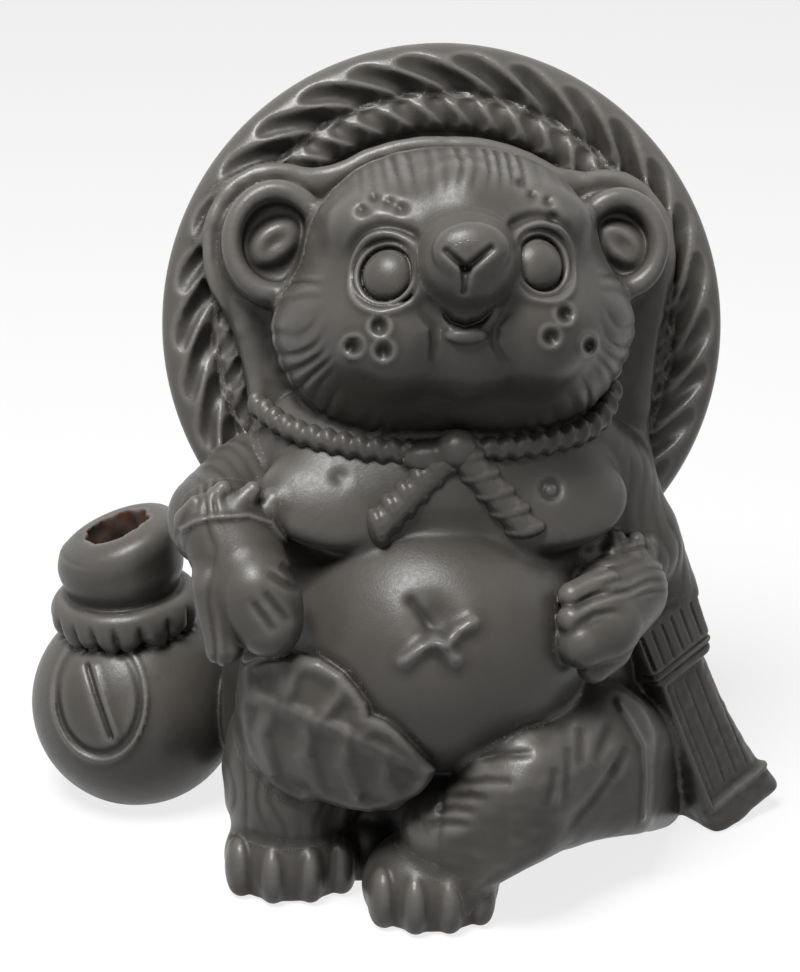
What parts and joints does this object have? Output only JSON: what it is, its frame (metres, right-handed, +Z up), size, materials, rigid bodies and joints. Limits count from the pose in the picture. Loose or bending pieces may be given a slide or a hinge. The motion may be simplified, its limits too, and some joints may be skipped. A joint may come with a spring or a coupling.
{
  "type": "tanuki statue",
  "caption": "Seated raccoon-dog figure in smoked clay, with a straw hat behind its head, a wine flask, a ledger and a leaf; a hollow free-standing garden or shop ornament.",
  "frame": {"origin": "on the ground, under the middle of the body", "axes": "+Z up, -Y the way the figure looks, +X to the figure's left"},
  "size_m": [0.1943, 0.1104, 0.1964],
  "materials": {
    "smoked_clay": "satin",
    "bare_clay": "matte"
  },
  "bodies": {
    "root": {"base_floor": "bare_clay", "cord_knot": "smoked_clay", "cord_tail_left": "smoked_clay", "cord_tail_right": "smoked_clay", "ear_left": "smoked_clay", "ear_right": "smoked_clay", "eyeball_left": "smoked_clay", "eyeball_right": "smoked_clay", "eyelid_ring_left": "smoked_clay", "eyelid_ring_right": "smoked_clay", "face_shell": "smoked_clay", "flask_body": "smoked_clay", "flask_collar": "smoked_clay", "flask_neck": "smoked_clay", "foot_left": "smoked_clay", "foot_right": "smoked_clay", "hat_cord_left": "smoked_clay", "hat_cord_right": "smoked_clay", "hat_dish": "smoked_clay", "hat_inner_band": "smoked_clay", "hat_rim_roll": "smoked_clay", "head_back_shell": "smoked_clay", "leaf": "smoked_clay", "ledger_band": "smoked_clay", "ledger_block": "smoked_clay", "leg_left": "smoked_clay", "leg_right": "smoked_clay", "lower_lip": "smoked_clay", "muzzle": "smoked_clay", "nose": "smoked_clay", "paw_left": "smoked_clay", "paw_right": "smoked_clay", "tail": "smoked_clay", "torso_back_shell": "smoked_clay", "torso_front_shell": "smoked_clay", "upper_arm_left": "smoked_clay", "upper_arm_right": "smoked_clay"}
  },
  "joints": []
}
